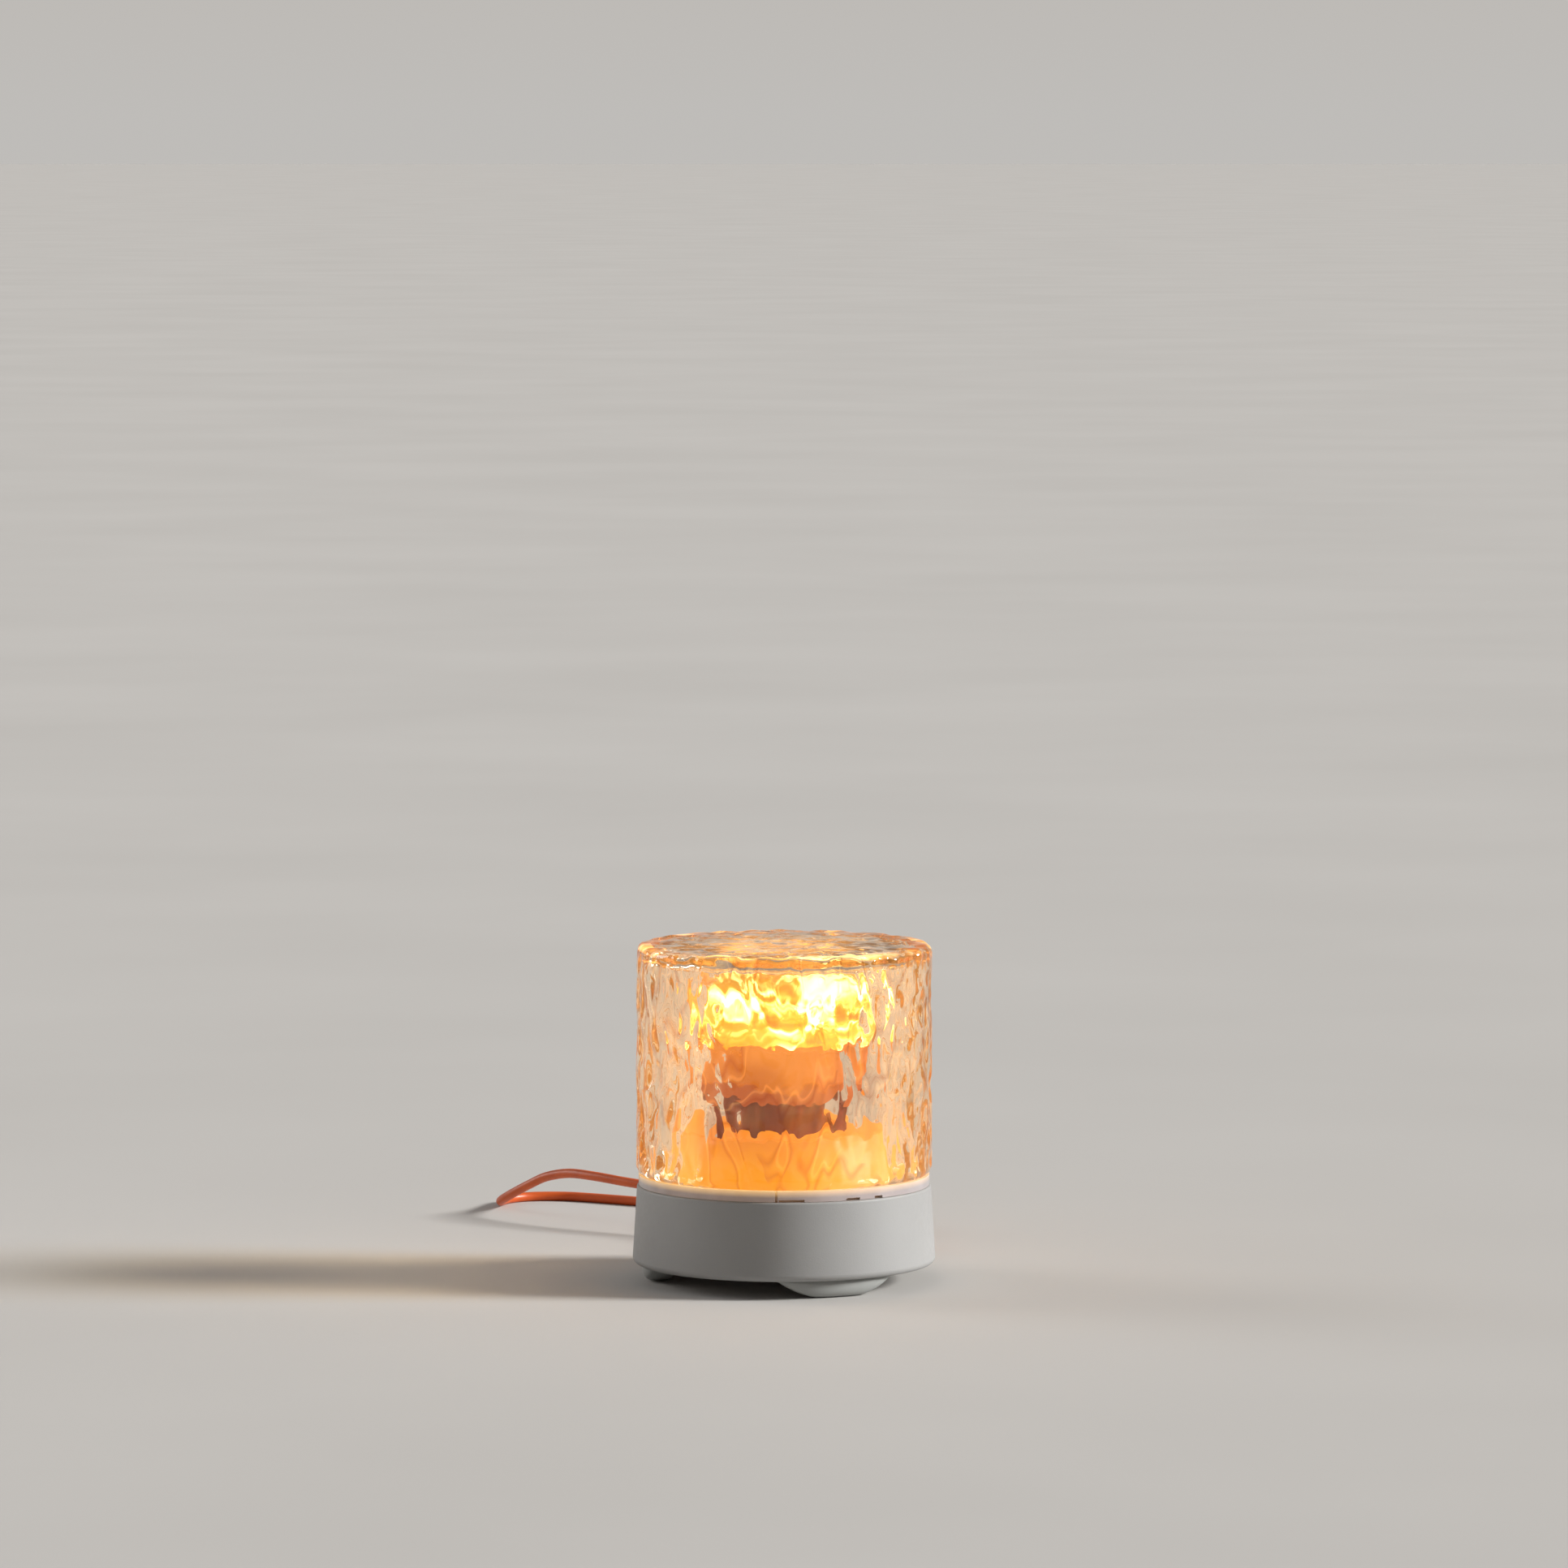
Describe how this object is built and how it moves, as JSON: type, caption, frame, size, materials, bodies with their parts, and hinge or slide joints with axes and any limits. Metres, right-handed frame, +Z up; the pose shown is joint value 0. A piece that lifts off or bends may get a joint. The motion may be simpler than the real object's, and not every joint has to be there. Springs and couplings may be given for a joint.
{
  "type": "ripple light table lamp",
  "caption": "Table lamp: rippled glass jar over an amber LED tower with a motor-turned lens, on a round plastic base with rocker feet and a USB lead.",
  "frame": {"origin": "on the table, under the centre of the lamp", "axes": "+Z up, front is -Y, the power lead leaves at +Y"},
  "size_m": [0.1516, 0.2476, 0.112],
  "materials": {
    "housing_plastic": "fine moulded matte",
    "cover_plastic": "moulded matte",
    "foot_rubber": "soft satin",
    "collar_plastic": "translucent satin",
    "glass": "hand-pressed ripple, polished",
    "white_plastic": "satin",
    "sleeve_dark": "high gloss",
    "lens_acrylic": "clear rippled",
    "condenser_acrylic": "clear",
    "led_amber": "lit amber",
    "led_board_white": "solder mask",
    "aluminium": "turned",
    "screw_steel": "zinc plated",
    "bearing_steel": "ground",
    "motor_can": "plated can",
    "gear_acetal": "satin",
    "black_plastic": "fine matte",
    "plunger_red": "satin",
    "circuit_green": "solder mask",
    "lead_red": "PVC",
    "lead_black": "PVC",
    "cord_orange": "satin PVC",
    "tie_black": "soft strap",
    "plug_steel": "nickel plated",
    "tongue_white": "moulded"
  },
  "bodies": {
    "base": {"base_housing": "housing_plastic", "bottom_cover": "cover_plastic", "cover_screws": "screw_steel", "foot_front": "foot_rubber", "foot_rear": "foot_rubber", "foot_left": "foot_rubber", "seat_collar": "collar_plastic", "reflector_deck": "white_plastic", "deck_screws": "screw_steel", "led_post": "aluminium", "post_nut": "screw_steel", "led_heatsink": "aluminium", "led_board": "led_board_white", "led_emitter": "led_amber", "lens_holder": "black_plastic", "condenser_lens": "condenser_acrylic", "bearing_inner_race": "bearing_steel", "gear_motor": "motor_can", "motor_screws": "screw_steel", "control_board": "circuit_green", "board_parts": "black_plastic", "board_screws": "screw_steel", "tact_switch": "black_plastic", "led_leads": "lead_red", "motor_leads": "lead_black", "power_leads": "lead_black", "strain_relief": "cord_orange", "cord_run": "cord_orange", "cord_coil": "cord_orange", "cord_tail": "cord_orange", "cord_tie": "tie_black", "plug_body": "cord_orange", "plug_shell": "plug_steel", "plug_tongue": "tongue_white"},
    "rotor": {"drive_gear": "gear_acetal", "bearing_outer_race": "bearing_steel", "rotor_sleeve": "sleeve_dark", "lens_carrier": "white_plastic", "carrier_screws": "screw_steel", "wave_lens": "lens_acrylic"},
    "ball_set": {"bearing_balls": "bearing_steel"},
    "pinion": {"pinion_gear": "gear_acetal", "motor_shaft": "bearing_steel"},
    "button": {"power_button": "housing_plastic", "switch_plunger": "plunger_red"},
    "glass": {"glass_shade": "glass"}
  },
  "joints": [
    {"name": "rotor_spin", "type": "hinge", "parent": "base", "child": "rotor", "pos_m": [0, 0, 0.0355], "axis": [0, 0, 1], "continuous": true},
    {"name": "pinion_spin", "type": "hinge", "parent": "base", "child": "pinion", "pos_m": [0, -0.028, 0.034], "axis": [0, 0, 1], "continuous": true},
    {"name": "ball_orbit", "type": "hinge", "parent": "base", "child": "ball_set", "pos_m": [0, 0, 0.0355], "axis": [0, 0, 1], "continuous": true},
    {"name": "button_press", "type": "slide", "parent": "base", "child": "button", "axis": [-0.5, -0.866, 0], "range_m": [0, 0.001], "stiffness_N_per_m": 250, "springref_m": -0.0004},
    {"name": "glass_lift", "type": "slide", "parent": "base", "child": "glass", "axis": [0, 0, 1], "range_m": [0, 0.085]}
  ],
  "couplings": [
    {"joint": "pinion_spin", "follows": "rotor_spin", "ratio": -3},
    {"joint": "ball_orbit", "follows": "rotor_spin", "ratio": 0.57692}
  ]
}
